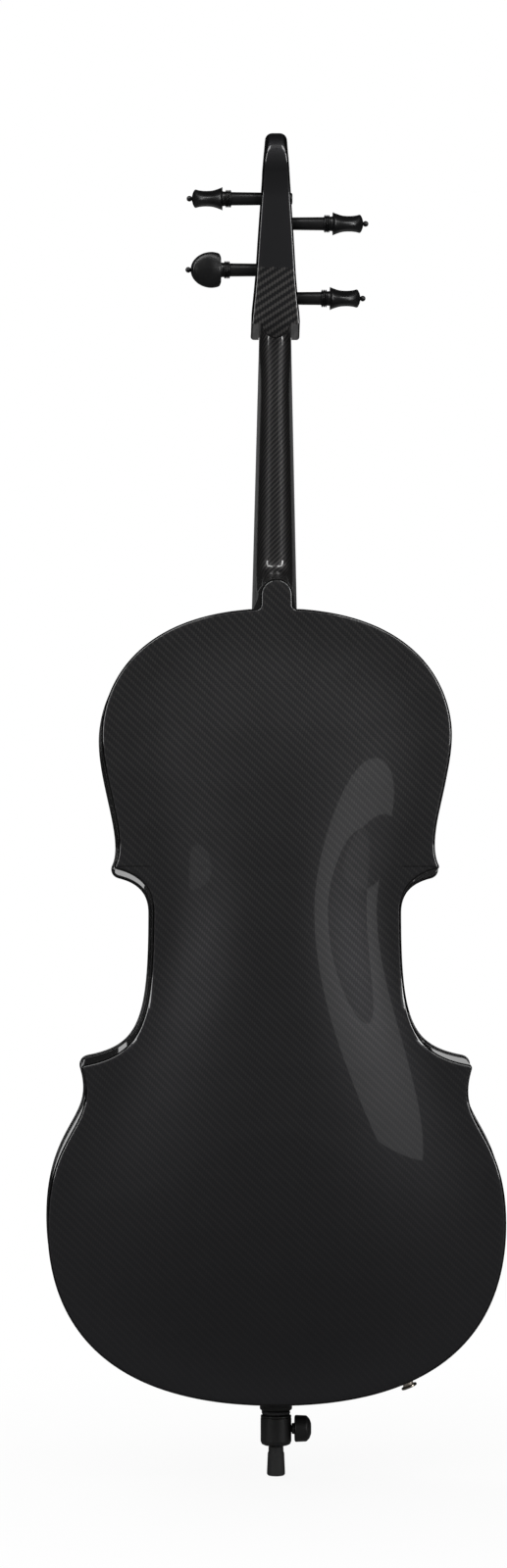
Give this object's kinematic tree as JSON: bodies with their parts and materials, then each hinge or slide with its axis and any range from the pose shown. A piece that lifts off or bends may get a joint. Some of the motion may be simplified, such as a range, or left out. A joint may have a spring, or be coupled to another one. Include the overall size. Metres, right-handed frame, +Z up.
{
  "type": "cello",
  "caption": "Full-size carbon fiber cello with pegs, fine tuners, a socket for a lead and a sliding endpin.",
  "frame": {"origin": "middle of the rubber tip's underside, with the endpin pushed in", "axes": "+Z up the instrument to the head, +Y out of the front where the strings are, +X towards the bass side"},
  "size_m": [0.4464, 0.2575, 1.2935],
  "materials": {
    "carbon": "twill carbon laminate under polished clear coat",
    "ebony": "black composite, satin to gloss",
    "rubber": "matte black",
    "nickel": "nickel plated",
    "steel": "wound wire",
    "maple": "planed maple",
    "spruce": "planed spruce",
    "core": "sawn"
  },
  "bodies": {
    "instrument": {"bass_bar": "spruce", "body_bowl": "carbon", "bridge": "maple", "end_block": "core", "endpin_plug": "ebony", "fingerboard": "ebony", "jack_barrel": "nickel", "jack_cap": "nickel", "jack_nut": "nickel", "neck": "carbon", "neck_block": "core", "nut": "ebony", "pegbox": "carbon", "saddle": "ebony", "sound_post": "spruce", "string_a": "steel", "string_c": "steel", "string_d": "steel", "string_g": "steel", "tail_cord": "rubber", "tailpiece": "ebony", "top_plate": "carbon"},
    "c_peg": {"peg_c": "ebony", "pin_c": "ebony"},
    "c_lever": {"tuner_lever_c": "nickel"},
    "c_screw": {"tuner_screw_c": "nickel"},
    "g_peg": {"peg_g": "ebony", "pin_g": "ebony"},
    "g_lever": {"tuner_lever_g": "nickel"},
    "g_screw": {"tuner_screw_g": "nickel"},
    "d_peg": {"peg_d": "ebony", "pin_d": "ebony"},
    "d_lever": {"tuner_lever_d": "nickel"},
    "d_screw": {"tuner_screw_d": "nickel"},
    "a_peg": {"peg_a": "ebony", "pin_a": "ebony"},
    "a_lever": {"tuner_lever_a": "nickel"},
    "a_screw": {"tuner_screw_a": "nickel"},
    "endpin": {"endpin_rod": "ebony", "rubber_tip": "rubber"},
    "endpin_lock": {"thumb_screw": "ebony"}
  },
  "joints": [
    {"name": "c_peg_turn", "type": "hinge", "parent": "instrument", "child": "c_peg", "pos_m": [0, 0.0126, 1.13859], "axis": [1, 0, 0], "continuous": true},
    {"name": "g_peg_turn", "type": "hinge", "parent": "instrument", "child": "g_peg", "pos_m": [0, -0.00433, 1.2087], "axis": [1, 0, 0], "continuous": true},
    {"name": "d_peg_turn", "type": "hinge", "parent": "instrument", "child": "d_peg", "pos_m": [0, -0.0101, 1.2318], "axis": [1, 0, 0], "continuous": true},
    {"name": "a_peg_turn", "type": "hinge", "parent": "instrument", "child": "a_peg", "pos_m": [0, 0.00647, 1.16532], "axis": [1, 0, 0], "continuous": true},
    {"name": "c_screw_turn", "type": "hinge", "parent": "instrument", "child": "c_screw", "pos_m": [0.0201, 0.11733, 0.26134], "axis": [0, -0.977, 0.2133], "range_deg": [0, 1800]},
    {"name": "c_lever_tilt", "type": "hinge", "parent": "instrument", "child": "c_lever", "pos_m": [0.0201, 0.1194, 0.28955], "axis": [-1, 0, 0], "range_deg": [0, 9]},
    {"name": "g_screw_turn", "type": "hinge", "parent": "instrument", "child": "g_screw", "pos_m": [0.0067, 0.11733, 0.26134], "axis": [0, -0.977, 0.2133], "range_deg": [0, 1800]},
    {"name": "g_lever_tilt", "type": "hinge", "parent": "instrument", "child": "g_lever", "pos_m": [0.0067, 0.1194, 0.28955], "axis": [-1, 0, 0], "range_deg": [0, 9]},
    {"name": "d_screw_turn", "type": "hinge", "parent": "instrument", "child": "d_screw", "pos_m": [-0.0067, 0.11733, 0.26134], "axis": [0, -0.977, 0.2133], "range_deg": [0, 1800]},
    {"name": "d_lever_tilt", "type": "hinge", "parent": "instrument", "child": "d_lever", "pos_m": [-0.0067, 0.1194, 0.28955], "axis": [-1, 0, 0], "range_deg": [0, 9]},
    {"name": "a_screw_turn", "type": "hinge", "parent": "instrument", "child": "a_screw", "pos_m": [-0.0201, 0.11733, 0.26134], "axis": [0, -0.977, 0.2133], "range_deg": [0, 1800]},
    {"name": "a_lever_tilt", "type": "hinge", "parent": "instrument", "child": "a_lever", "pos_m": [-0.0201, 0.1194, 0.28955], "axis": [-1, 0, 0], "range_deg": [0, 9]},
    {"name": "endpin_slide", "type": "slide", "parent": "instrument", "child": "endpin", "axis": [0, 0, -1], "range_m": [0, 0.37]},
    {"name": "thumb_screw_turn", "type": "hinge", "parent": "instrument", "child": "endpin_lock", "pos_m": [0, 0, 0.04464], "axis": [1, 0, 0], "range_deg": [0, 720]}
  ],
  "couplings": [
    {"joint": "c_lever_tilt", "follows": "c_screw_turn", "ratio": 0.004547},
    {"joint": "g_lever_tilt", "follows": "g_screw_turn", "ratio": 0.004547},
    {"joint": "d_lever_tilt", "follows": "d_screw_turn", "ratio": 0.004547},
    {"joint": "a_lever_tilt", "follows": "a_screw_turn", "ratio": 0.004547}
  ]
}
